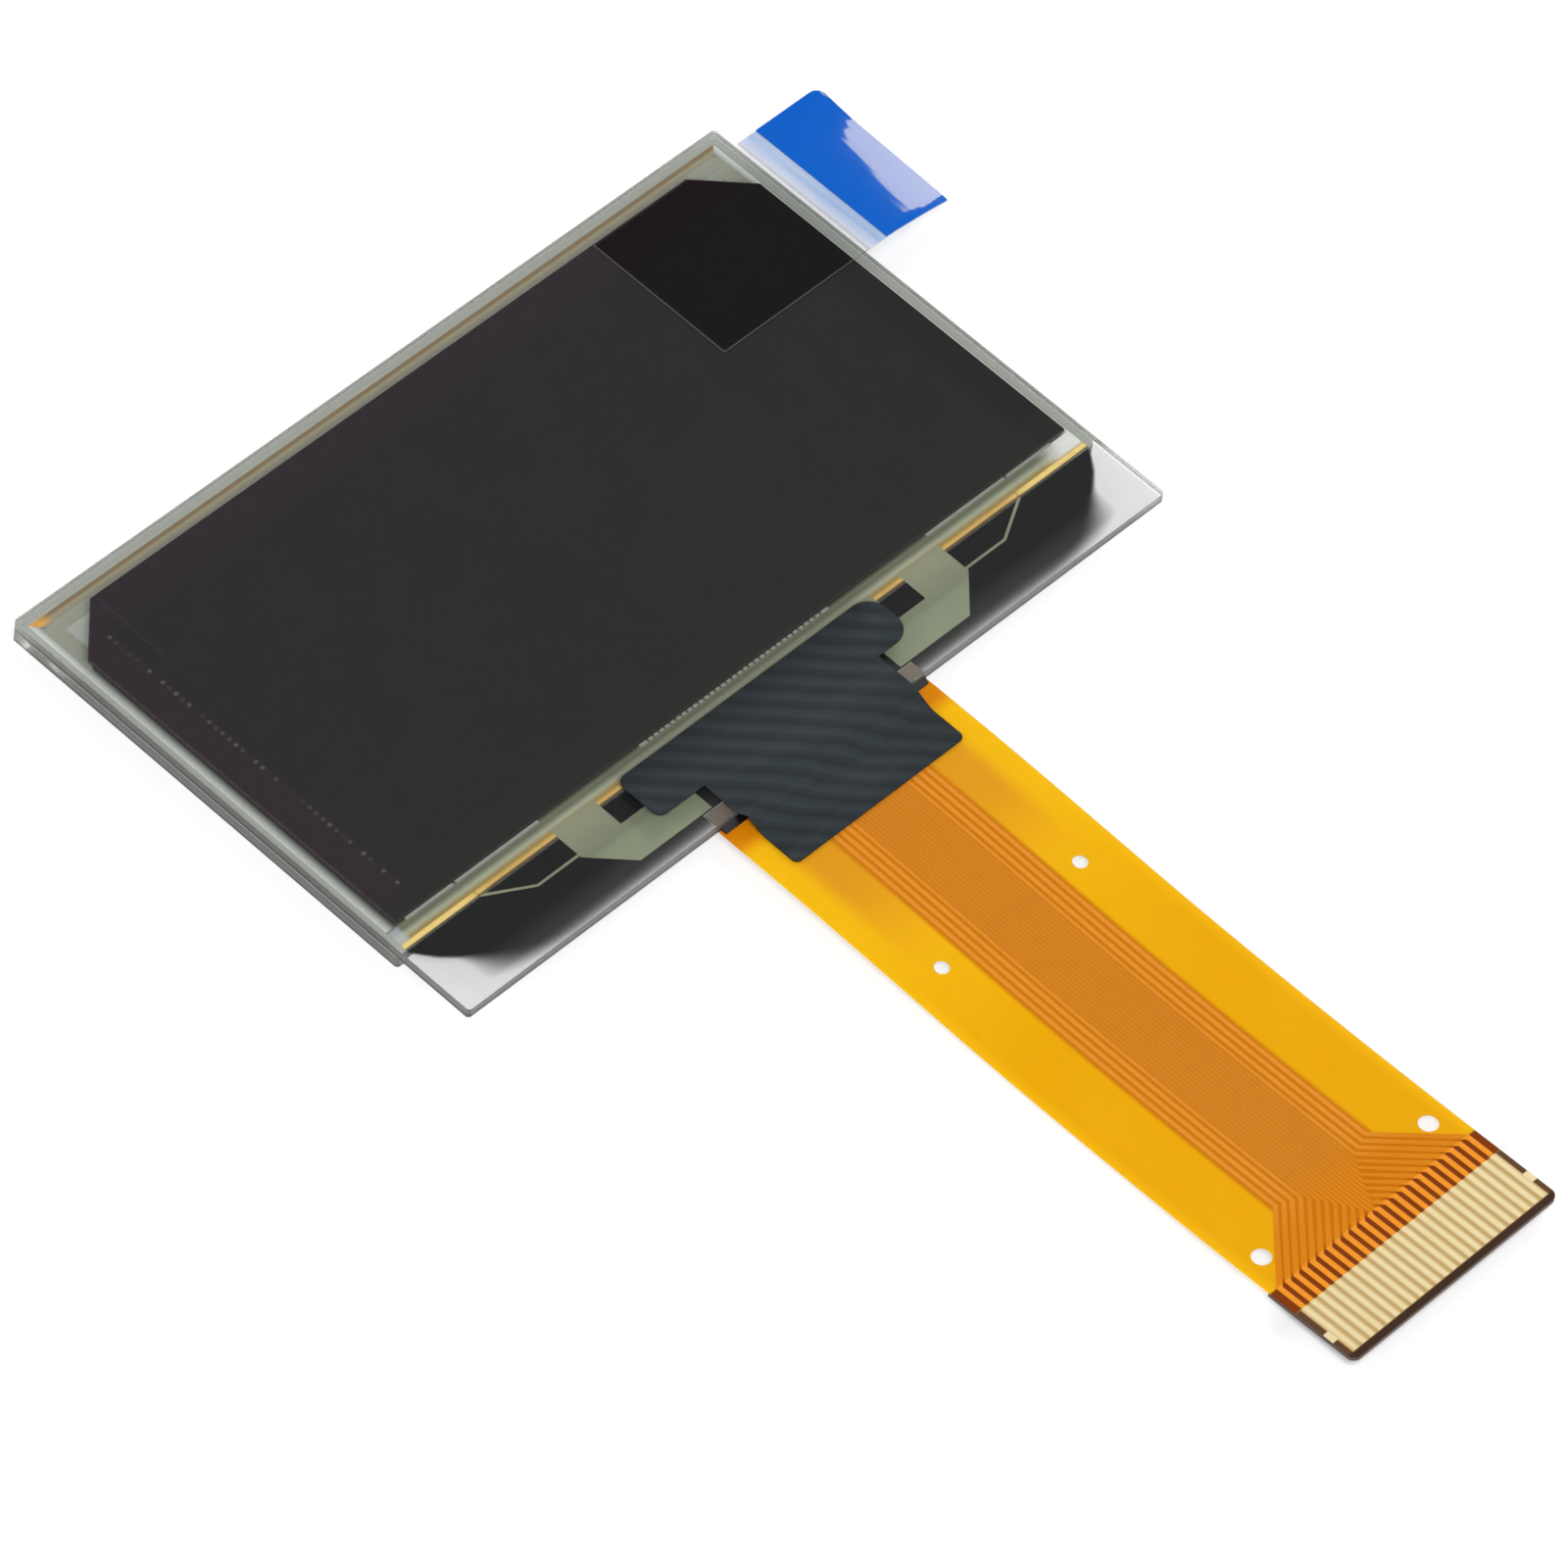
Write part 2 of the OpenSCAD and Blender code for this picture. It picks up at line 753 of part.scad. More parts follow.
// Bare gold fingers, with the stubs that fed the plating current at both sides
module contact_fingers() {
  stub_x = contact_x(contact_count - 1);
  color("gold")
    intersection() {
      hanging_sheet(tail_l - contact_tip - contact_l, tail_l - contact_tip, -copper_t, gold_t, tail_w);
      over_plan() {
        for (i = [0 : contact_count - 1])
          translate([contact_x(i) - contact_w / 2, contact_y])
            square([contact_w, contact_l]);
        for (side = [-1, 1])
          translate([side * (stub_x + tail_w / 2) / 2, tip_y + stub_tip + stub_w / 2])
            square([tail_w / 2 - stub_x, stub_w], center = true);
      }
    }
}

module tail_stiffener() {
  color("saddlebrown")
    intersection() {
      hanging_sheet(stiff_s, tail_l, -copper_t - base_t - stiffener_t, -copper_t - base_t, tail_w);
      over_plan() tail_outline();
    }
}

front_glass();
cap_glass();
perimeter_seal();
desiccant_sheet();
emitting_stack();
polarizer();
protective_film();
pull_tape();
pull_grip();
pad_left();
pad_right();
chip_leads();
tail_leads();
driver_chip();
chip_adhesive();
tail_adhesive();
ledge_resin();
edge_bead();
black_tape();
tail_base();
copper_traces();
cover_film();
contact_fingers();
tail_stiffener();
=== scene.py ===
"""Looks of a small OLED display panel with a flexible tail."""

import math

import bpy
from mathutils import Matrix, Vector


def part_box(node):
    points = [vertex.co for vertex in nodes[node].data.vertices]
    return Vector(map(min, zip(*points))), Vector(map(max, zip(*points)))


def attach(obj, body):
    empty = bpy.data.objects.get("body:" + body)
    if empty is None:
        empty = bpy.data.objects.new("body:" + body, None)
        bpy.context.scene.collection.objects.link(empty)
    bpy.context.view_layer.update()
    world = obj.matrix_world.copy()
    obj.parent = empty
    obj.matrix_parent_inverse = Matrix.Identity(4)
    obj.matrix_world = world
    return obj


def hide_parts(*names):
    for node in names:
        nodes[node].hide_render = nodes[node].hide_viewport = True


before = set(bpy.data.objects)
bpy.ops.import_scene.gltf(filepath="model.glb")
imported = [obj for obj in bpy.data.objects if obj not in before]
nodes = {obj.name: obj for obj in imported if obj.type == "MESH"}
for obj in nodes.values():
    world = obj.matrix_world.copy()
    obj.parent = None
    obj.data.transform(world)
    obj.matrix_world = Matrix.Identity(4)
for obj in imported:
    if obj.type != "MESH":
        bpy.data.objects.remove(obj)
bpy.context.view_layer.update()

MM = 0.001

# ------------------------------------------------------------------- colours


def srgb(red, green, blue):
    """Linear colour of the usual 0 to 255 values."""
    values = [v / 255 for v in (red, green, blue)]
    linear = [v / 12.92 if v < 0.04045 else ((v + 0.055) / 1.055) ** 2.4 for v in values]
    return (*linear, 1.0)


# ------------------------------------------------------------ making materials


class Wiring:
    """The nodes of one tree, made and joined by short calls."""

    def __init__(self, tree):
        self.tree = tree
        tree.nodes.clear()

    def node(self, kind, **values):
        made = self.tree.nodes.new(kind)
        for name, value in values.items():
            setattr(made, name, value)
        return made

    def join(self, value, socket):
        """Links a socket, or writes a plain value into it."""
        if isinstance(value, bpy.types.NodeSocket):
            self.tree.links.new(value, socket)
        else:
            socket.default_value = value

    def maths(self, operation, *values):
        """One Math node; operation is its own name for what it does."""
        made = self.node("ShaderNodeMath", operation=operation)
        for value, socket in zip(values, made.inputs):
            self.join(value, socket)
        return made.outputs[0]

    def step(self, value, low, high):
        """0 below low and 1 above high, with a smooth change between."""
        made = self.node("ShaderNodeMapRange", interpolation_type="SMOOTHSTEP")
        for socket, v in zip(made.inputs, (value, low, high)):
            self.join(v, socket)
        return made.outputs[0]

    def band(self, value, low, high, soft=0.04):
        """1 between low and high, with soft edges."""
        return self.maths(
            "MULTIPLY",
            self.step(value, low - soft, low + soft),
            self.step(value, high + soft, high - soft),
        )

    def both(self, *masks):
        """Masks and plain shares, multiplied."""
        made = masks[0]
        for mask in masks[1:]:
            made = self.maths("MULTIPLY", made, mask)
        return made

    def ramp(self, value, stops):
        """Colour along a value; stops are (value, colour)."""
        low, high = stops[0][0], stops[-1][0]
        to_unit = self.node("ShaderNodeMapRange")
        for socket, v in zip(to_unit.inputs, (value, low, high)):
            self.join(v, socket)
        made = self.node("ShaderNodeValToRGB")
        marks = made.color_ramp.elements
        while len(marks) < len(stops):
            marks.new(0.5)
        for mark, (at, colour) in zip(marks, stops):
            mark.position = (at - low) / (high - low)
        for mark, (at, colour) in zip(marks, stops):
            mark.color = colour if len(colour) == 4 else srgb(*colour)
        self.join(to_unit.outputs[0], made.inputs[0])
        return made.outputs[0]

    def curve(self, value, stops):
        """Number from 0 to 1 along a value."""
        return self.ramp(value, [(at, (v, v, v, 1)) for at, v in stops])

    def blend(self, share, first, second, way="MIX"):
        """The first colour where share is 0 and the second where it is 1."""
        made = self.node("ShaderNodeMix", data_type="RGBA", blend_type=way)
        for name, value in (("Factor_Float", share), ("A_Color", first), ("B_Color", second)):
            socket = next(s for s in made.inputs if s.identifier == name)
            if isinstance(value, tuple) and len(value) == 3:
                value = srgb(*value)
            self.join(value, socket)
        return next(s for s in made.outputs if s.identifier == "Result_Color")

    def around(self, value, middle, swing):
        """Spreads noise round a middle; a mask of 0 or 1 gives the low or high end."""
        made = self.node("ShaderNodeMapRange")
        noise_low, noise_high = 0.25, 0.75
        ends = (value, noise_low, noise_high, middle - swing, middle + swing)
        for socket, v in zip(made.inputs, ends):
            self.join(v, socket)
        return made.outputs[0]

    def placed(self, group, **values):
        """The output of a shared group, set here with values of its own."""
        made = self.node("ShaderNodeGroup", node_tree=group)
        for name, value in values.items():
            self.join(value, made.inputs[name])
        return made.outputs[0]


def shared(name, given, result):
    """Starts a node group: its wiring, its inputs and its outputs, each by name."""
    tree = bpy.data.node_groups.new(name, "ShaderNodeTree")
    wiring = Wiring(tree)
    for label, kind in given.items():
        tree.interface.new_socket(name=label, in_out="INPUT", socket_type=kind)
    for label, kind in result.items():
        tree.interface.new_socket(name=label, in_out="OUTPUT", socket_type=kind)
    entry = wiring.node("NodeGroupInput")
    leave = wiring.node("NodeGroupOutput")
    return wiring, entry.outputs, leave.inputs


def make_grain():
    """Noise over a place, stretched along its axes."""
    number, vector = "NodeSocketFloat", "NodeSocketVector"
    sockets = {
        "Place": vector,
        "Stretch": vector,
        "Scale": number,
        "Detail": number,
        "Roughness": number,
    }
    w, given, result = shared("grain", sockets, {"Value": number})
    mapping = w.node("ShaderNodeMapping")
    noise = w.node("ShaderNodeTexNoise")
    w.join(given["Place"], mapping.inputs["Vector"])
    w.join(given["Stretch"], mapping.inputs["Scale"])
    w.join(mapping.outputs[0], noise.inputs["Vector"])
    for label in ("Scale", "Detail", "Roughness"):
        w.join(given[label], noise.inputs[label])
    w.join(noise.outputs[0], result["Value"])
    return w.tree


def make_behind_glass():
    """A colour, raised by what the front glass takes from it on the way in and out."""
    colour = {"Colour": "NodeSocketColor"}
    w, given, result = shared("behind_glass", colour, colour)
    gain = (1.45, 1.45, 1.45, 1)
    w.join(w.blend(1.0, given["Colour"], gain, "MULTIPLY"), result["Colour"])
    return w.tree


def make_near_bands():
    """The supply lines' bands. Past is the way past the ledge line in millimetres."""
    w, given, result = shared(
        "near_bands", {"Past": "NodeSocketFloat"}, {"Colour": "NodeSocketColor"}
    )
    stops = [
        (0.0, (46, 24, 6)),
        (0.09, (122, 92, 48)),
        (0.15, (205, 168, 98)),
        (0.29, (176, 140, 68)),
        (0.38, (142, 114, 60)),
        (0.49, (152, 140, 100)),
        (0.63, (164, 164, 144)),
        (0.77, (134, 138, 118)),
        (0.91, (102, 105, 86)),
        (1.06, (116, 116, 99)),
        (1.21, (80, 78, 68)),
        (1.31, (50, 49, 47)),
    ]
    w.join(w.ramp(given["Past"], stops), result["Colour"])
    return w.tree


GRAIN = make_grain()
BEHIND_GLASS = make_behind_glass()
NEAR_BANDS = make_near_bands()


class Finish(Wiring):
    """A material in the making. Its places are in millimetres in the row frame."""

    def __init__(self, name):
        self.material = bpy.data.materials.new(name)
        self.material.use_nodes = True
        super().__init__(self.material.node_tree)
        self.output = self.node("ShaderNodeOutputMaterial")
        coordinate = self.node("ShaderNodeTexCoord")
        in_mm = self.node("ShaderNodeVectorMath", operation="SCALE")
        in_mm.inputs["Scale"].default_value = 1 / MM
        self.join(coordinate.outputs["Object"], in_mm.inputs[0])
        self.place = in_mm.outputs[0]
        split = self.node("ShaderNodeSeparateXYZ")
        self.join(self.place, split.inputs[0])
        self.x, self.y, self.z = split.outputs

    def from_middle(self):
        """The distance from the middle line, left or right."""
        return self.maths("ABSOLUTE", self.x)

    def beyond(self, line):
        """The way past a line across the panel, towards its far edge."""
        return self.maths("SUBTRACT", self.y, line)

    def noise(self, scale, detail=3, stretch=(1, 1, 1), rough=0.5):
        """The shared grain, with the scale in cycles a millimetre."""
        return self.placed(
            GRAIN,
            Place=self.place,
            Stretch=stretch,
            Scale=scale,
            Detail=detail,
            Roughness=rough,
        )

    def bump(self, height, strength, depth):
        """A normal from a height; the depth is in millimetres."""
        made = self.node("ShaderNodeBump")
        made.inputs["Strength"].default_value = strength
        made.inputs["Distance"].default_value = depth * MM
        self.join(height, made.inputs["Height"])
        return made.outputs[0]

    def surface(self, **values):
        """Principled shader; names are its sockets with _ for a blank."""
        made = self.node("ShaderNodeBsdfPrincipled")
        for name, value in values.items():
            socket = made.inputs[name.replace("_", " ")]
            if isinstance(value, tuple) and len(value) == 3 and socket.type == "RGBA":
                value = srgb(*value)
            self.join(value, socket)
        return made.outputs[0]

    def let_light_through(self, shader, tint=(0.96, 0.975, 0.965, 1)):
        """Lamps and soft light pass straight through the glass."""
        path = self.node("ShaderNodeLightPath")
        lamp_ray, soft_ray = (path.outputs[f"Is {ray} Ray"] for ray in ("Shadow", "Diffuse"))
        share = self.maths("MAXIMUM", lamp_ray, soft_ray)
        clear = self.node("ShaderNodeBsdfTransparent")
        clear.inputs[0].default_value = tint
        made = self.node("ShaderNodeMixShader")
        self.join(share, made.inputs[0])
        self.join(shader, made.inputs[1])
        self.join(clear.outputs[0], made.inputs[2])
        return made.outputs[0]

    def done(self, shader):
        """The finished material."""
        self.join(shader, self.output.inputs["Surface"])
        return self.material


def dress(piece, *materials):
    """Gives an object these materials in place of its own."""
    piece.data.materials.clear()
    for material in materials:
        piece.data.materials.append(material)
    return piece


# ---------------------------------------------------------------- mesh tools


def deselect():
    if bpy.context.object and bpy.context.object.mode != "OBJECT":
        bpy.ops.object.mode_set(mode="OBJECT")
    bpy.ops.object.select_all(action="DESELECT")


def make_active(piece):
    deselect()
    piece.select_set(True)
    bpy.context.view_layer.objects.active = piece


def edit(piece, choose="DESELECT"):
    """Enters edit mode with none of the piece selected, or all of it."""
    make_active(piece)
    bpy.ops.object.mode_set(mode="EDIT")
    bpy.ops.mesh.select_mode(type="VERT")
    bpy.ops.mesh.select_all(action=choose)


def leave_edit():
    bpy.ops.object.mode_set(mode="OBJECT")


def pick(piece, kind, test):
    """Selects the edges or faces for which test is true, in edit mode."""
    bpy.ops.mesh.select_mode(type="EDGE" if kind == "edges" else "FACE")
    bpy.ops.mesh.select_all(action="DESELECT")
    bpy.ops.object.mode_set(mode="OBJECT")
    mesh = piece.data
    for item in mesh.edges if kind == "edges" else mesh.polygons:
        item.select = bool(test(item))
    bpy.ops.object.mode_set(mode="EDIT")


def rise(piece, edge):
    """How far an edge climbs, in millimetres."""
    first, last = (piece.data.vertices[v].co.z for v in edge.vertices)
    return abs(first - last) / MM


def settle(piece):
    """Applies the place, so the object sits at the origin."""
    make_active(piece)
    bpy.ops.object.transform_apply(location=True, rotation=True, scale=True)
    return piece


def block(name, low, high):
    """A box between two corners in millimetres."""
    deselect()
    middle = [(a + b) / 2 * MM for a, b in zip(low, high)]
    bpy.ops.mesh.primitive_cube_add(size=1, location=middle)
    piece = bpy.context.object
    piece.name = piece.data.name = name
    piece.scale = [(b - a) * MM for a, b in zip(low, high)]
    return settle(piece)


def plate(name, low, high, corner, arris):
    """A glass plate with cut corners and fine arrises."""
    piece = block(name, low, high)
    # An edge that climbs less than this runs level
    level = 0.1
    edit(piece)
    pick(piece, "edges", lambda e: rise(piece, e) > level)
    bpy.ops.mesh.bevel(offset=corner * MM, segments=1, affect="EDGES")
    pick(piece, "edges", lambda e: rise(piece, e) < level)
    bpy.ops.mesh.bevel(offset=arris * MM, segments=2, affect="EDGES")
    leave_edit()
    return piece


def copied(node, name):
    """A merged copy of a CAD node's mesh, as a piece of its own."""
    piece = nodes[node].copy()
    piece.data = nodes[node].data.copy()
    piece.name = piece.data.name = name
    piece.parent = None
    piece.matrix_world = Matrix.Identity(4)
    for key in list(piece.keys()):
        del piece[key]
    piece.hide_render = piece.hide_viewport = False
    bpy.context.scene.collection.objects.link(piece)
    edit(piece, "SELECT")
    bpy.ops.mesh.remove_doubles(threshold=0.0001 * MM)
    leave_edit()
    return piece


def cut_across(piece, axis, places):
    """Adds edges across a piece at these places, in millimetres, along axis 0 or 1."""
    for place in places:
        edit(piece, "SELECT")
        at, facing = [0, 0, 0], [0, 0, 0]
        at[axis], facing[axis] = place * MM, 1
        bpy.ops.mesh.bisect(plane_co=at, plane_no=facing)
    leave_edit()


def reshape(piece, place):
    """Moves each point of a soft piece to place(x, y, z), in millimetres."""
    for vertex in piece.data.vertices:
        vertex.co = Vector(place(*(vertex.co / MM))) * MM
    piece.data.update()


def steps(low, high, count):
    """Even steps from low to high, both ends included."""
    return [low + (high - low) * i / count for i in range(count + 1)]


def eased(value):
    """0 up to 0 and 1 from 1 on, with a smooth change between."""
    value = min(max(value, 0), 1)
    return value * value * (3 - 2 * value)


def smooth(piece, angle=30):
    make_active(piece)
    bpy.ops.object.shade_smooth_by_angle(angle=math.radians(angle))


def stands_for(piece, replaced):
    """Rides a piece on the one body, in place of a CAD node."""
    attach(piece, "root")
    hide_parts(replaced)


def box_mm(node):
    """A node's lowest and highest corners, in millimetres."""
    low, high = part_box(node)
    return [v / MM for v in low], [v / MM for v in high]


# -------------------------------------------------------------------- places

glass_low, glass_high = box_mm("front_glass")
cap_low, cap_high = box_mm("cap_glass")
pull_low, pull_high = box_mm("pull_tape")
area_low, area_high = box_mm("emitting_stack")
seal_side, seal_far = box_mm("perimeter_seal")[1][:2]
tail_low, tail_high = box_mm("tail_base")
ledge_line = cap_low[1]
glass_edge = glass_low[1]
tip = tail_low[1]
tail_side = tail_high[0]
# Air between a modelled piece and what it covers
HAIR = 0.002

# --------------------------------------------------------------------- glass


def glass_face():
    f = Finish("clear_glass")
    dust = f.noise(0.6, 4)
    shader = f.surface(
        Base_Color=f.blend(dust, (0.925, 0.935, 0.93, 1), (0.955, 0.965, 0.96, 1)),
        Roughness=f.around(dust, 0.012, 0.01),
        IOR=1.51,
        Transmission_Weight=1.0,
    )
    return f.done(f.let_light_through(shader))


def glass_wall():
    f = Finish("ground_glass")
    grain = f.noise(4, 3, (1, 1, 0.25))
    # Each plate's wall is darkest along its lower arris
    dark = (0.22, 0.23, 0.22, 1)
    cap_tone = (0.8, 0.82, 0.79, 1)
    front_tone = (0.9, 0.92, 0.89, 1)
    tone = f.ramp(
        f.z,
        [
            (cap_low[2], dark),
            (cap_low[2] + 0.12, dark),
            (cap_low[2] + 0.22, cap_tone),
            (cap_high[2] - 0.02, cap_tone),
            (glass_low[2] + 0.02, dark),
            (glass_low[2] + 0.14, dark),
            (glass_low[2] + 0.24, front_tone),
            (glass_high[2], front_tone),
        ],
    )
    shader = f.surface(
        Base_Color=f.blend(f.around(grain, 0.06, 0.06), tone, (0.5, 0.52, 0.5, 1)),
        Roughness=f.around(grain, 0.42, 0.04),
        IOR=1.51,
        Transmission_Weight=0.93,
    )
    return f.done(f.let_light_through(shader, (0.8, 0.82, 0.8, 1)))


clear_glass = glass_face()
ground_glass = glass_wall()

CUT_CORNER = 0.12
ARRIS = 0.02

front = plate(
    "front_plate",
    (glass_low[0], glass_low[1], glass_low[2] + HAIR),
    (glass_high[0], glass_high[1], glass_high[2] - HAIR),
    CUT_CORNER,
    ARRIS,
)
cap = plate(
    "cap_plate",
    cap_low,
    (cap_high[0], cap_high[1], cap_high[2] - HAIR),
    CUT_CORNER,
    ARRIS,
)
# The pocket behind the light-emitting layers, with room round the drying sheet: the
# top face is inset a little, stretched to the pocket's size and pressed in
sheet_low, sheet_high = box_mm("desiccant_sheet")
room_round, room_under = 0.6, 0.004
first_inset = 0.1
pocket_size = [sheet_high[i] - sheet_low[i] + 2 * room_round for i in (0, 1)]
inset_size = [cap_high[i] - cap_low[i] - 2 * (first_inset + ARRIS) for i in (0, 1)]
cap_middle = [(cap_low[i] + cap_high[i]) / 2 for i in (0, 1)]
sheet_middle_y = (sheet_low[1] + sheet_high[1]) / 2
edit(cap)
pick(cap, "faces", lambda p: p.normal.z > 0.99)
bpy.ops.mesh.inset(thickness=first_inset * MM)
bpy.ops.transform.resize(
    value=(pocket_size[0] / inset_size[0], pocket_size[1] / inset_size[1], 1),
    center_override=Vector((*cap_middle, cap_high[2])) * MM,
)
bpy.ops.transform.translate(value=(0, (sheet_middle_y - cap_middle[1]) * MM, 0))
bpy.ops.mesh.extrude_region_move(
    TRANSFORM_OT_translate={"value": (0, 0, (sheet_low[2] - room_under - cap_high[2]) * MM)}
)
leave_edit()

# Painted shade: the cap's top rim gets a grey, mostly opaque top, so the lit floor doesn't
# show through it
f = Finish("rim_painted_shade")
rim_grain = f.noise(3, 4)
rim_painted_shade = f.done(
    f.surface(
        Base_Color=f.blend(rim_grain, (170, 171, 162), (182, 183, 174)),
        Roughness=0.6,
        Specular_IOR_Level=0.2,
        Alpha=0.85,
    )
)
for piece in (front, cap):
    dress(piece, clear_glass, ground_glass, rim_painted_shade)
    for face in piece.data.polygons:
        level = abs(face.normal.z) > 0.99
        on_rim = piece is cap and level and face.center.z > (cap_high[2] - 0.05) * MM
        face.material_index = 2 if on_rim else 0 if level else 1
stands_for(front, "front_glass")
stands_for(cap, "cap_glass")

# ------------------------------------------------------------ seal and cavity

f = Finish("seal_rim")
side = f.ramp(
    f.from_middle(),
    [
        (seal_side - 1.17, (52, 50, 50)),
        (seal_side - 0.52, (66, 65, 64)),
        (seal_side - 0.37, (120, 120, 118)),
        (seal_side - 0.22, (167, 168, 164)),
        (seal_side, (198, 199, 195)),
    ],
)
far = f.ramp(
    f.y,
    [
        (seal_far - 1.16, (60, 58, 55)),
        (seal_far - 0.76, (112, 110, 105)),
        (seal_far - 0.64, (143, 140, 132)),
        (seal_far - 0.46, (129, 125, 111)),
        (seal_far - 0.26, (144, 134, 109)),
        (seal_far - 0.16, (120, 100, 74)),
        (seal_far, (118, 98, 74)),
    ],
)
# A painted highlight, in gold, at the far left corner
painted_corner_highlight = f.both(
    f.step(f.x, -seal_side + 1.27, -seal_side + 0.37),
    f.step(f.y, seal_far - 0.56, seal_far - 0.36),
    0.8,
)
far = f.blend(painted_corner_highlight, far, (214, 152, 62))
# Along the ledge line: the gold brightens to both sides, and the bands end pale; at the left
# end the pale is a painted highlight
past = f.beyond(ledge_line)
near = f.placed(NEAR_BANDS, Past=past)
bright_gold = f.both(
    f.step(f.from_middle(), seal_side - 5.37, seal_side - 3.17),
    f.band(past, 0.06, 0.31, 0.05),
)
near = f.blend(bright_gold, near, (224, 194, 116))
right_end = f.both(
    f.step(f.x, seal_side - 2.37, seal_side - 0.87), f.band(past, 0.36, 1.26, 0.08), 0.95
)
near = f.blend(right_end, near, (214, 214, 209))
# A painted highlight, pale blue, where the bands end at the left
painted_left_highlight = f.both(
    f.step(f.x, -seal_side + 0.67, -seal_side + 0.37), f.band(past, 0.31, 1.11, 0.1), 0.7
)
near = f.blend(painted_left_highlight, near, (176, 182, 192))
# The sides meet the far run on a mitre and the near run on a line
inner_far, inner_side = seal_far - 1.1, seal_side - 1.1
past_mitre = f.maths(
    "SUBTRACT",
    f.maths("SUBTRACT", f.y, inner_far),
    f.maths("SUBTRACT", f.from_middle(), inner_side),
)
colour = f.blend(f.step(past_mitre, -0.03, 0.03), side, far)
colour = f.blend(f.step(past, 1.21, 1.15), colour, near)
# Where the polarizer's corners are cut, the bare corner shows pale
film_high = box_mm("polarizer")[1]
film_corner = film_high[0] + film_high[1]
past_cut = f.maths("ADD", f.from_middle(), f.y)
cut_corner = f.both(
    f.step(past_cut, film_corner - 2.73, film_corner - 2.43),
    f.step(f.y, seal_far - 0.41, seal_far - 0.66),
    f.step(f.from_middle(), seal_side - 0.22, seal_side - 0.42),
)
colour = f.blend(cut_corner, colour, (136, 137, 124), "LIGHTEN")
speckle = f.noise(5, 5)
colour = f.blend(f.around(speckle, 0.08, 0.08), colour, (90, 88, 78))
seal_rim = f.done(
    f.surface(
        Base_Color=f.placed(BEHIND_GLASS, Colour=colour),
        Roughness=0.55,
        Specular_IOR_Level=0.2,
        Normal=f.bump(speckle, 0.2, 0.004),
    )
)
dress(nodes["perimeter_seal"], seal_rim)

f = Finish("drying_paper")
fibre = f.noise(6, 6, (1, 1, 1), 0.65)
drying_paper = f.done(
    f.surface(
        Base_Color=f.blend(fibre, (226, 224, 218), (244, 243, 240)),
        Roughness=0.85,
        Normal=f.bump(fibre, 0.5, 0.03),
    )
)
dress(nodes["desiccant_sheet"], drying_paper)

f = Finish("cathode_metal")
grain = f.noise(2, 4, (1, 12, 1))
cathode_metal = f.done(
    f.surface(
        Base_Color=f.blend(grain, (120, 122, 128), (150, 152, 158)),
        Metallic=1.0,
        Roughness=f.around(grain, 0.2, 0.06),
    )
)
dress(nodes["emitting_stack"], cathode_metal)

# ---------------------------------------------------------------- front films

f = Finish("polarizer_film")
haze = f.noise(0.35, 3)
base = f.blend(haze, (54, 54, 55), (56, 56, 56))
# Margins round the picture area, where the edge electrodes show faintly
area_left, area_right = area_low[0], area_high[0]
area_near, area_far = area_low[1], area_high[1]
margin = f.maths(
    "MAXIMUM",
    f.step(f.x, area_left + 0.47, area_left - 0.13),
    f.step(f.y, area_far - 1.76, area_far + 0.24),
)
base = f.blend(f.both(margin, 0.9), base, (64, 55, 62))
right_margin = f.step(f.x, area_right - 0.57, area_right + 0.43)
base = f.blend(f.both(right_margin, 0.6), base, (49, 46, 46))
near_margin = f.step(f.y, area_near + 1.31, area_near - 0.29)
base = f.blend(f.both(near_margin, 0.7), base, (58, 57, 54))
left_line = f.both(
    f.band(f.x, area_left + 1.07, area_left + 1.17, 0.03),
    f.step(f.y, area_far - 7.36, area_far + 0.14),
    0.45,
)
base = f.blend(left_line, base, (80, 68, 78))
# The row of edge contacts, each a fleck of its own brightness
contacts_per_mm = 2.5
contact = f.maths("MULTIPLY", f.y, contacts_per_mm)
brightness = f.node("ShaderNodeTexWhiteNoise", noise_dimensions="1D")
f.join(f.maths("FLOOR", contact), brightness.inputs["W"])
fleck = f.both(
    f.band(f.maths("FRACT", contact), 0.28, 0.68, 0.15),
    f.band(f.x, area_left - 0.01, area_left + 0.17, 0.06),
    f.maths("POWER", brightness.outputs["Value"], 1.6),
    f.band(f.y, area_near + 0.31, area_far - 0.96, 0.1),
)
base = f.blend(fleck, base, (118, 110, 118))
# Wetted out under the pull tape, so deeper in tone
under_tape = f.both(
    f.step(f.x, pull_low[0] - 0.01, pull_low[0] + 0.05),
    f.band(f.y, pull_low[1], pull_high[1], 0.03),
)
wetted = f.blend(f.step(f.y, area_far - 1.96, area_far + 0.24), (16, 16, 16), (22, 6, 12))
base = f.blend(under_tape, base, wetted)
polarizer_film = f.done(
    f.surface(Base_Color=base, Roughness=f.around(haze, 0.1, 0.03), Specular_IOR_Level=0.1)
)
dress(nodes["polarizer"], polarizer_film)

cover_low, cover_high = box_mm("protective_film")
clear_film = copied("protective_film", "clear_cover")
# A little thinner than the node, so it clears what lies under and over it
edit(clear_film, "SELECT")
bpy.ops.transform.resize(
    value=(1, 1, 0.92), center_override=(0, 0, (cover_low[2] + 0.036) * MM)
)
leave_edit()
f = Finish("protective_sheet")
ripple = f.noise(0.25, 2)
protective_sheet = f.done(
    f.surface(
        Base_Color=f.blend(ripple, (30, 30, 31), (36, 36, 36)),
        Roughness=0.06,
        Alpha=0.12,
        Specular_IOR_Level=0.5,
        Normal=f.bump(ripple, 0.1, 0.02),
    )
)
dress(clear_film, protective_sheet)
stands_for(clear_film, "protective_film")

# ------------------------------------------------------------------ pull tape

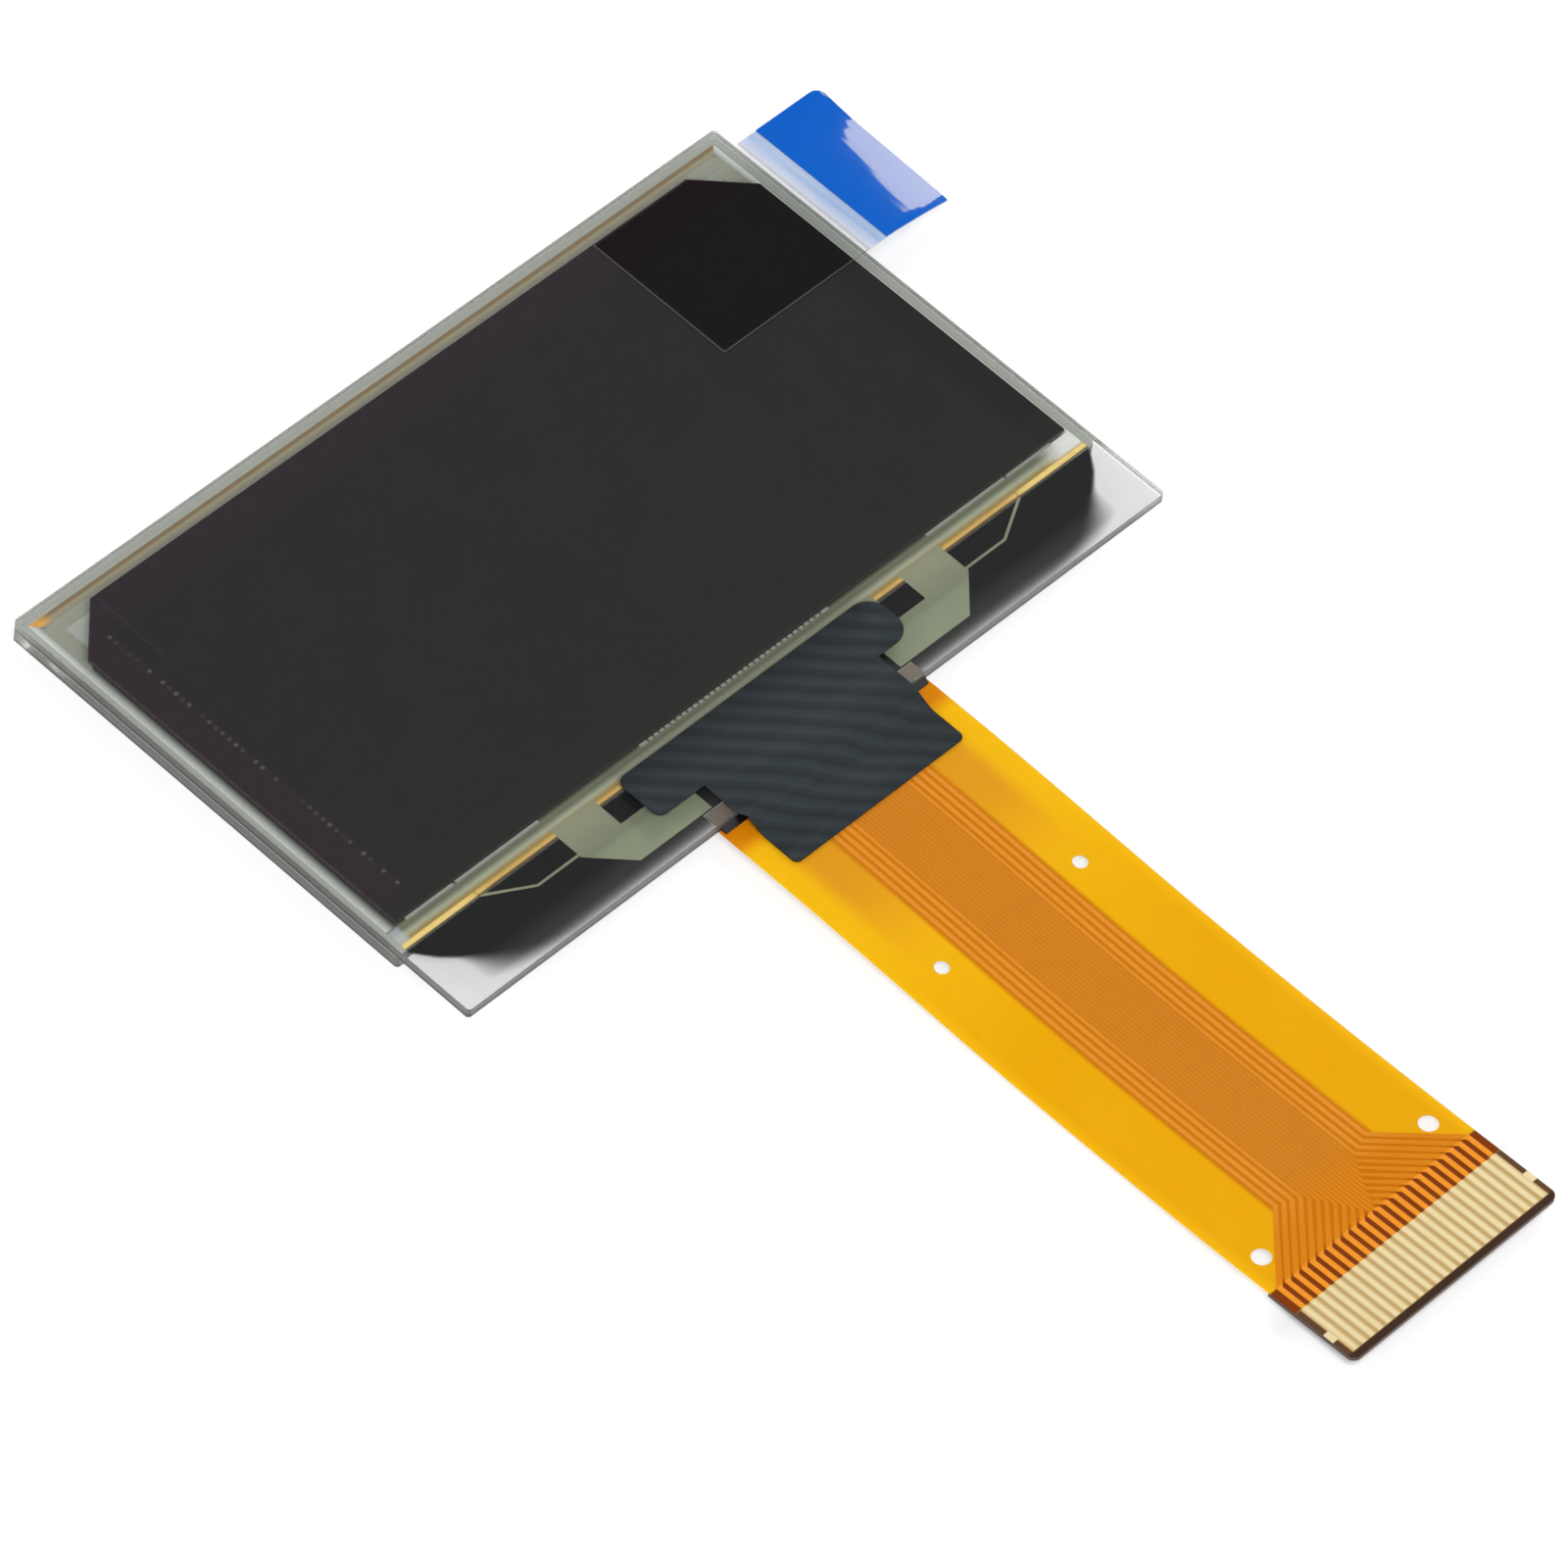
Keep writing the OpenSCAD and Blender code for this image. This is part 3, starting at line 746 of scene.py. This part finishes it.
f = Finish("clear_tape")
streak = f.noise(0.6, 3, (4, 0.4, 1))
glass_side = glass_high[0]
# Past the glass, the clear tape turns blue towards the grip: a painted reflection of the blue
# grip
tone = f.ramp(
    f.x,
    [
        (glass_side - 0.12, (226, 226, 232)),
        (glass_side + 0.28, (196, 208, 236)),
        (glass_side + 0.68, (138, 176, 226)),
        (glass_side + 1.08, (168, 194, 230)),
    ],
)
tone = f.blend(f.around(streak, 0.2, 0.2), tone, (235, 240, 250))
past_glass = f.step(f.x, glass_side - 0.12, glass_side + 0.13)
edge = f.maths(
    "MAXIMUM",
    f.band(f.x, pull_low[0], pull_low[0] + 0.07, 0.02),
    f.band(f.y, pull_low[1], pull_low[1] + 0.06, 0.02),
)
opacity = f.maths("ADD", f.both(past_glass, 0.66), f.both(edge, 0.3))
clear_tape = f.done(
    f.surface(
        Base_Color=f.blend(past_glass, (120, 112, 112), tone),
        Roughness=0.12,
        Alpha=f.maths("MAXIMUM", opacity, 0.01),
        Specular_IOR_Level=0.3,
        Normal=f.bump(streak, 0.3, 0.02),
    )
)

f = Finish("blue_grip")
mottle = f.noise(0.8, 3, (1, 1, 1))
blue_grip = f.done(
    f.surface(
        Base_Color=f.blend(mottle, (0, 90, 194), (0, 98, 204)),
        Roughness=f.around(mottle, 0.045, 0.015),
        Specular_Tint=(1.0, 0.86, 0.33, 1),
        Normal=f.bump(mottle, 0.03, 0.01),
    )
)
# The tape curls from here on, round a wide bend
bend_start = glass_side + 0.3
bend_r = 24.0
stuck_z = cover_high[2]
grip_start = box_mm("pull_grip")[0][0]


def cad_drop(x):
    """How far the CAD tape hangs below its stuck part."""
    return 0 if x < bend_start else bend_r - math.sqrt(bend_r**2 - (x - bend_start) ** 2)


def curled_drop(x, y):
    """How far the finished tape hangs: it bends on a line that runs askew and turns
    away towards the far corner, and its near edge rolls down past the grip's start."""
    across = y - pull_low[1]
    askew = 0.55 + 0.23 * (across - 4) + 0.3 * max(0, across - 5.24) ** 2
    past = max(0, x - bend_start - askew)
    roll_w, roll_depth, roll_run = 0.16, 0.03, 1.2
    roll = eased((roll_w - across) / roll_w) ** 2
    roll *= eased((x - grip_start - 0.4) / roll_run)
    return past**2 / (2 * bend_r) + roll_depth * roll


def hang(x, y, z):
    layer = z + cad_drop(x) - stuck_z
    return x, y, stuck_z + layer - curled_drop(x, y)


def lay_strip(node, name, start, stop, finish):
    """A soft strip cut finely from start to stop, then hung. Its rows are closest
    where the near edge rolls down."""
    strip = copied(node, name)
    cut_across(strip, 0, steps(start, stop, 36))
    rows = (0.04, 0.08, 0.12, 0.16, *steps(0.5, 7.75, 29))
    cut_across(strip, 1, [pull_low[1] + row for row in rows])
    reshape(strip, hang)
    smooth(strip)
    dress(strip, finish)
    stands_for(strip, node)


lay_strip("pull_tape", "tape_strip", bend_start, pull_high[0] - 0.1, clear_tape)
lay_strip(
    "pull_grip", "tape_grip", grip_start + 0.15, pull_high[0] - 0.05, blue_grip
)

# ------------------------------------------------------- printed metal, ledge

f = Finish("pad_metal")
grain = f.noise(1.2, 4)
past = f.beyond(ledge_line)
tone = f.ramp(
    past,
    [
        (-3.49, (146, 152, 126)),
        (-1.79, (138, 144, 118)),
        (-1.54, (124, 128, 104)),
        (-0.69, (138, 141, 116)),
        (0.21, (156, 154, 126)),
    ],
)
# The wide pads cover the gold band; the lone lines, further out, end at it
over_seal = f.placed(BEHIND_GLASS, Colour=f.placed(NEAR_BANDS, Past=past))
pads_end = 12.8
lone = f.step(f.from_middle(), pads_end, pads_end + 0.2)
tone = f.blend(f.step(past, 0.41, 0.59), tone, over_seal)
tone = f.blend(f.both(f.step(past, -0.03, 0.03), lone), tone, over_seal)
pad_metal = f.done(
    f.surface(
        Base_Color=f.blend(f.around(grain, 0.1, 0.1), tone, (120, 124, 104)),
        Roughness=f.around(grain, 0.42, 0.06),
        Specular_IOR_Level=0.3,
    )
)
for name in ("pad_left", "pad_right", "chip_leads", "tail_leads"):
    dress(nodes[name], pad_metal)

f = Finish("chip_silicon")
grain = f.noise(3, 5)
chip_silicon = f.done(
    f.surface(
        Base_Color=f.blend(grain, (62, 63, 68), (78, 79, 84)),
        Metallic=0.6,
        Roughness=f.around(grain, 0.3, 0.1),
    )
)
dress(nodes["driver_chip"], chip_silicon)

f = Finish("bonding_film")
grain = f.noise(12, 3)
bonding_film = f.done(
    f.surface(Base_Color=f.blend(grain, (112, 100, 90), (138, 124, 112)), Roughness=0.5)
)
dress(nodes["chip_adhesive"], bonding_film)
dress(nodes["tail_adhesive"], bonding_film)

# Resin and painted shade: the ledge's shade is painted into this dark coat, whose fades
# towards the glass edge and the corners follow that shade
f = Finish("dark_resin")
brush = f.noise(1.0, 4, (0.5, 2, 1))
past_edge = f.beyond(glass_edge)
front_fade = f.curve(
    past_edge,
    [
        (0.01, 0.05),
        (0.21, 0.25),
        (0.36, 0.45),
        (0.51, 0.62),
        (0.71, 0.8),
        (0.91, 0.94),
        (1.11, 1.0),
        (1.81, 1.0),
    ],
)
# Where the coat, and the shade painted into it, ends towards the corners, and how softly
least_reach, more_reach, most_soft = 15.6, 5.0, 2.6
reach_curve = f.curve(
    past_edge,
    [
        (0.01, 0.0),
        (0.41, 0.24),
        (0.81, 0.42),
        (1.61, 0.56),
        (2.21, 0.66),
        (3.01, 0.84),
        (3.71, 0.95),
        (4.11, 1.0),
    ],
)
reach = f.maths("MULTIPLY_ADD", reach_curve, more_reach, least_reach)
soft_curve = f.curve(
    past_edge, [(0.01, 1.0), (1.01, 0.7), (1.81, 0.3), (2.41, 0.1), (4.11, 0.03)]
)
softness = f.both(soft_curve, most_soft)
inside = f.step(
    f.from_middle(), f.maths("ADD", reach, softness), f.maths("SUBTRACT", reach, softness)
)
black = f.blend(brush, (14, 14, 15), (22, 21, 22))
dark_resin = f.done(
    f.surface(
        Base_Color=f.blend(f.step(past_edge, 2.01, 0.71), black, (52, 51, 50)),
        Roughness=f.around(brush, 0.4, 0.1),
        Specular_IOR_Level=0.05,
        Alpha=f.maths("MAXIMUM", f.both(front_fade, inside), 0.07),
        Normal=f.bump(brush, 0.3, 0.02),
    )
)
resin_front = box_mm("ledge_resin")[0][1]
outer_rim = 16.4
resin = copied("ledge_resin", "resin_and_shade_coat")


def feathered_out(x, y, z):
    """The coat's thin feathered rim, where its painted shade fades, runs out to the glass
    edge, beside the tail.
    """
    if abs(x) > outer_rim:
        x = math.copysign(glass_side - 0.12, x)
    if y < resin_front + 0.02 and abs(x) > tail_side - 0.05:
        y = glass_edge + 0.08
    return x, y, z


reshape(resin, feathered_out)
dress(resin, dark_resin)
stands_for(resin, "ledge_resin")

# A near-black bead along the glass's front edge, over the tail
f = Finish("near_black_bead")
lump = f.noise(2.5, 4)
near_black_bead = f.done(
    f.surface(
        Base_Color=f.blend(lump, (10, 9, 8), (22, 20, 18)),
        Roughness=f.around(lump, 0.25, 0.1),
        Normal=f.bump(lump, 0.5, 0.05),
    )
)
dress(nodes["edge_bead"], near_black_bead)

# ----------------------------------------------------------------- black tape

f = Finish("black_film")
waver = f.both(f.noise(0.5, 2), 0.5)
across = f.maths("ADD", f.maths("ADD", f.x, f.y), waver)
rib_pitch, fine_pitch = 1.27, 0.42
rib = f.maths("SINE", f.maths("MULTIPLY", across, 2 * math.pi / rib_pitch))
rib = f.maths("ADD", f.maths("MULTIPLY", rib, 0.5), 0.5)
fine = f.maths("SINE", f.maths("MULTIPLY", across, 2 * math.pi / fine_pitch))
rib = f.maths("ADD", rib, f.maths("MULTIPLY", fine, 0.12))
black_film = f.done(
    f.surface(
        Base_Color=f.blend(rib, (40, 46, 49), (50, 57, 61)),
        Roughness=0.6,
        Specular_IOR_Level=0.1,
        Normal=f.bump(rib, 0.2, 0.02),
    )
)
tape = copied("black_tape", "joint_tape")
tape_t = 0.08
# How far the CAD tape takes to come down from the glass, and the finished one
cad_run, soft_run = 1.1, 1.6
# The height of the tape's underside at the foot of that run
foot = 0.662
# What lies left of this is drawn in
left_side, drawn_in = -4.5, 0.3
cut_across(tape, 1, steps(glass_edge - 0.01, glass_edge - soft_run, 22))


def draped(x, y, z):
    """The tape runs off the glass edge and down to the tail in one soft curve, and
    its left side is drawn in a little on the way."""
    past = glass_edge - y
    if past < -0.001:
        return x, y, z
    if x < left_side:
        x += drawn_in * eased(past / 0.5)
    if past > soft_run:
        return x, y, z
    fall = foot - glass_high[2]
    if past < cad_run:
        is_top = z > glass_high[2] + fall * past / cad_run + 0.045
    else:
        is_top = z > foot + 0.03
    return x, y, glass_high[2] + fall * eased(past / soft_run) + (tape_t if is_top else 0)


reshape(tape, draped)
smooth(tape, 40)
dress(tape, black_film)
stands_for(tape, "black_tape")

# ------------------------------------------------------------- flexible tail

# The half width of the fine middle lines and of all the lines, where the copper
# fans out, and how far the stiffener and the bare gold reach from the tip
fine_half, bus_half = 1.6, 2.9
fan_start, fan_full = tip + 8.31, tip + 6.01
stiff_reach, bare_reach = 4.75, 3.26
# Half the row of contact fingers
row_half = 6.0

f = Finish("amber_film")
cloud = f.noise(0.25, 3)
half = f.from_middle()
# The copper spreads towards the contacts, and its darker ground with it
spread_start, widest_spread = tip + 7.41, 2.9
spread = f.maths("MAXIMUM", f.maths("SUBTRACT", spread_start, f.y), 0.0)
spread = f.maths("MINIMUM", spread, widest_spread)
bus = f.step(f.maths("SUBTRACT", half, spread), bus_half + 0.3, bus_half)
amber = f.blend(cloud, (235, 176, 0), (240, 183, 2))
amber = f.blend(f.step(half, tail_side - 0.65, tail_side), amber, (248, 198, 12))
# Painted light: the film is brighter towards the glass
lit_towards_glass = f.step(f.y, glass_edge - 18.39, glass_edge - 6.39)
amber = f.blend(f.both(lit_towards_glass, 0.8), amber, (250, 208, 22))
# Painted shade: darker orange beside the black tape, away from the film's sides
tape_shade_along = f.step(f.y, glass_edge - 11.39, glass_edge - 4.89)
tape_shade_inward = f.step(half, tail_side - 0.75, tail_side - 1.85)
amber = f.blend(f.both(tape_shade_inward, tape_shade_along, 0.85), amber, (220, 148, 40))
amber = f.blend(bus, amber, (196, 102, 10))
amber = f.blend(f.step(half, fine_half + 0.08, fine_half), amber, (202, 110, 30))
fan_zone = f.step(f.y, fan_start, fan_full)
amber = f.blend(f.both(fan_zone, bus), amber, (196, 86, 0))
# Painted shade: a darker orange band just out from the glass edge
shade_by_glass_edge = f.step(f.y, glass_edge - 1.9, glass_edge - 0.9)
amber = f.blend(shade_by_glass_edge, amber, (222, 124, 10))
over_stiffener = f.step(f.y, tip + stiff_reach, tip + stiff_reach - 0.15)
stiff_edge = f.band(f.y, tip + stiff_reach - 0.07, tip + stiff_reach + 0.1, 0.06)
amber = f.blend(f.both(stiff_edge, bus), amber, (170, 44, 0))
amber = f.blend(over_stiffener, amber, (116, 28, 0))
bare = f.step(f.y, tip + bare_reach + 0.04, tip + bare_reach - 0.06)
amber = f.blend(bare, amber, (198, 166, 108))
past_row = f.step(half, row_half - 0.04, row_half)
amber = f.blend(f.both(bare, past_row), amber, (92, 64, 40))
end_strip = f.step(f.y, tip + 0.4, tip + 0.3)
amber = f.blend(end_strip, amber, (62, 42, 30))
bonded = f.step(f.y, glass_edge - 0.05, glass_edge + 0.05)
amber = f.blend(bonded, amber, (104, 94, 84))
amber_film = f.done(
    f.surface(
        Base_Color=amber,
        Roughness=f.around(cloud, 0.3, 0.05),
        Specular_IOR_Level=0.12,
        Normal=f.bump(cloud, 0.2, 0.05),
    )
)
dress(nodes["tail_base"], amber_film)

f = Finish("copper_line")
grain = f.noise(8, 3)
fine_lines = f.step(f.from_middle(), fine_half + 0.08, fine_half)
tone = f.blend(fine_lines, (230, 140, 62), (206, 116, 44))
tone = f.blend(f.step(f.y, fan_start, fan_full), tone, (218, 120, 20))
over_stiffener = f.step(f.y, tip + stiff_reach + 0.05, tip + stiff_reach - 0.15)
tone = f.blend(over_stiffener, tone, (242, 150, 40))
copper_line = f.done(
    f.surface(
        Base_Color=f.blend(f.around(grain, 0.06, 0.06), tone, (200, 116, 40)),
        Roughness=0.32,
        Specular_IOR_Level=0.15,
    )
)
dress(nodes["copper_traces"], copper_line)

cover = copied("cover_film", "tail_cover")
edit(cover, "SELECT")
bpy.ops.transform.translate(value=(0, 0, HAIR * MM))
leave_edit()
f = Finish("amber_cover")
cloud = f.noise(0.3, 3, (1, 0.5, 1))
before_stiffener = f.step(f.y, tip + stiff_reach - 0.15, tip + stiff_reach + 0.05)
amber_cover = f.done(
    f.surface(
        Base_Color=f.blend(cloud, (240, 176, 2), (246, 184, 6)),
        Roughness=f.around(cloud, 0.16, 0.05),
        Specular_IOR_Level=0.3,
        Alpha=f.around(before_stiffener, 0.085, 0.055),
    )
)
dress(cover, amber_cover)
stands_for(cover, "cover_film")

f = Finish("finger_gold")
wipe = f.noise(2.5, 4, (3, 0.3, 1))
# Each finger is darker along its flanks; the stubs outside the row are plain
fingers_per_mm = 2.0
across = f.maths("FRACT", f.maths("MULTIPLY", f.x, fingers_per_mm))
off_middle = f.maths("ABSOLUTE", f.maths("SUBTRACT", across, 0.5))
in_row = f.step(f.from_middle(), row_half - 0.06, row_half - 0.1)
flank = f.both(f.step(off_middle, 0.12, 0.36), in_row)
tone = f.blend(wipe, (234, 214, 160), (244, 226, 178))
finger_gold = f.done(
    f.surface(
        Base_Color=f.blend(flank, tone, (214, 186, 130)),
        Metallic=0.35,
        Roughness=f.around(wipe, 0.4, 0.06),
        Normal=f.bump(wipe, 0.04, 0.004),
    )
)
dress(nodes["contact_fingers"], finger_gold)

f = Finish("stiffener_board")
grain = f.noise(4, 4, (1, 1, 3))
stiffener_board = f.done(
    f.surface(
        Base_Color=f.blend(grain, (56, 40, 32), (84, 62, 48)),
        Roughness=0.5,
        Normal=f.bump(grain, 0.3, 0.02),
    )
)
dress(nodes["tail_stiffener"], stiffener_board)

# --------------------------------------------------------------------- stage

f = Finish("pale_floor")
path = f.node("ShaderNodeLightPath")
seen = f.maths(
    "MAXIMUM",
    f.maths("MAXIMUM", path.outputs["Is Camera Ray"], path.outputs["Is Glossy Ray"]),
    path.outputs["Is Transmission Ray"],
)
# Where it is seen, the floor is partly lit by its own glow, so shadows stay faint,
# apart from the one under the tail's tip
at_tip = f.step(f.y, tip + 6.81, tip + 1.81)
glow = f.around(at_tip, 0.415, -0.205)
pale, half_pale = (0.9, 0.9, 0.9, 1), (0.42, 0.42, 0.42, 1)
pale_floor = f.done(
    f.surface(
        Base_Color=f.blend(seen, pale, f.blend(at_tip, half_pale, pale)),
        Roughness=0.9,
        Specular_IOR_Level=0.0,
        Emission_Color=(1, 1, 1, 1),
        Emission_Strength=f.maths("MULTIPLY", seen, glow),
    )
)
deselect()
bpy.ops.mesh.primitive_plane_add(size=3, location=(0, 0, -0.00001))
floor = bpy.context.object
floor.name = "floor"
settle(floor)
dress(floor, pale_floor)

world = bpy.data.worlds.new("studio")
bpy.context.scene.world = world
world.use_nodes = True
# White round the horizon and a dimmer ceiling; the camera sees plain white
w = Wiring(world.node_tree)
direction = w.node("ShaderNodeTexCoord")
split = w.node("ShaderNodeSeparateXYZ")
w.join(direction.outputs["Generated"], split.inputs[0])
height = split.outputs["Z"]
room = w.curve(height, [(0.0, 1.0), (0.5, 1.0), (0.68, 0.22), (0.76, 0.15), (1.0, 0.15)])
path = w.node("ShaderNodeLightPath")
background = w.node("ShaderNodeBackground")
seen_room = w.blend(path.outputs["Is Camera Ray"], room, (1, 1, 1, 1))
w.join(seen_room, background.inputs["Color"])
output = w.node("ShaderNodeOutputWorld")
w.join(background.outputs[0], output.inputs["Surface"])


def softbox(name, turn, rise, distance, width, height, watts):
    """An area lamp aimed at the origin, in metres, watts and degrees; turn is from
    +X towards +Y and rise is above the floor."""
    turn, rise = math.radians(turn), math.radians(rise)
    level = math.cos(rise)
    away = Vector((math.cos(turn) * level, math.sin(turn) * level, math.sin(rise)))
    data = bpy.data.lights.new(name, "AREA")
    data.shape = "RECTANGLE"
    data.size, data.size_y = width, height
    data.energy = watts
    lamp = bpy.data.objects.new(name, data)
    lamp.location = away * distance
    lamp.rotation_euler = (-away).to_track_quat("-Z", "Y").to_euler()
    bpy.context.scene.collection.objects.link(lamp)


softbox(
    "key_softbox", turn=28, rise=31, distance=0.6, width=0.19, height=0.136, watts=0.62
)
softbox("top_softbox", turn=235, rise=62, distance=0.8, width=0.4, height=0.4, watts=4.0)

camera_data = bpy.data.cameras.new("camera")
camera_data.sensor_width = 36
camera_data.lens = 264.6
camera_data.clip_start = 0.01
camera = bpy.data.objects.new("camera", camera_data)
bpy.context.scene.collection.objects.link(camera)
# Its place and the point it looks at, in millimetres, and its turn about that line
eye = Vector((-242.8, -195.1, 377.0)) * MM
aim = Vector((-1.92, -13.27, -0.09)) * MM
roll = math.radians(9.26)
forward = (aim - eye).normalized()
right = forward.cross(Vector((0, 0, 1))).normalized()
up = right.cross(forward)
tilted_right = right * math.cos(roll) + up * math.sin(roll)
tilted_up = up * math.cos(roll) - right * math.sin(roll)
turn = Matrix((tilted_right, tilted_up, -forward)).transposed()
camera.matrix_world = Matrix.Translation(eye) @ turn.to_4x4()
bpy.context.scene.camera = camera

bpy.context.scene.view_settings.view_transform = "Standard"
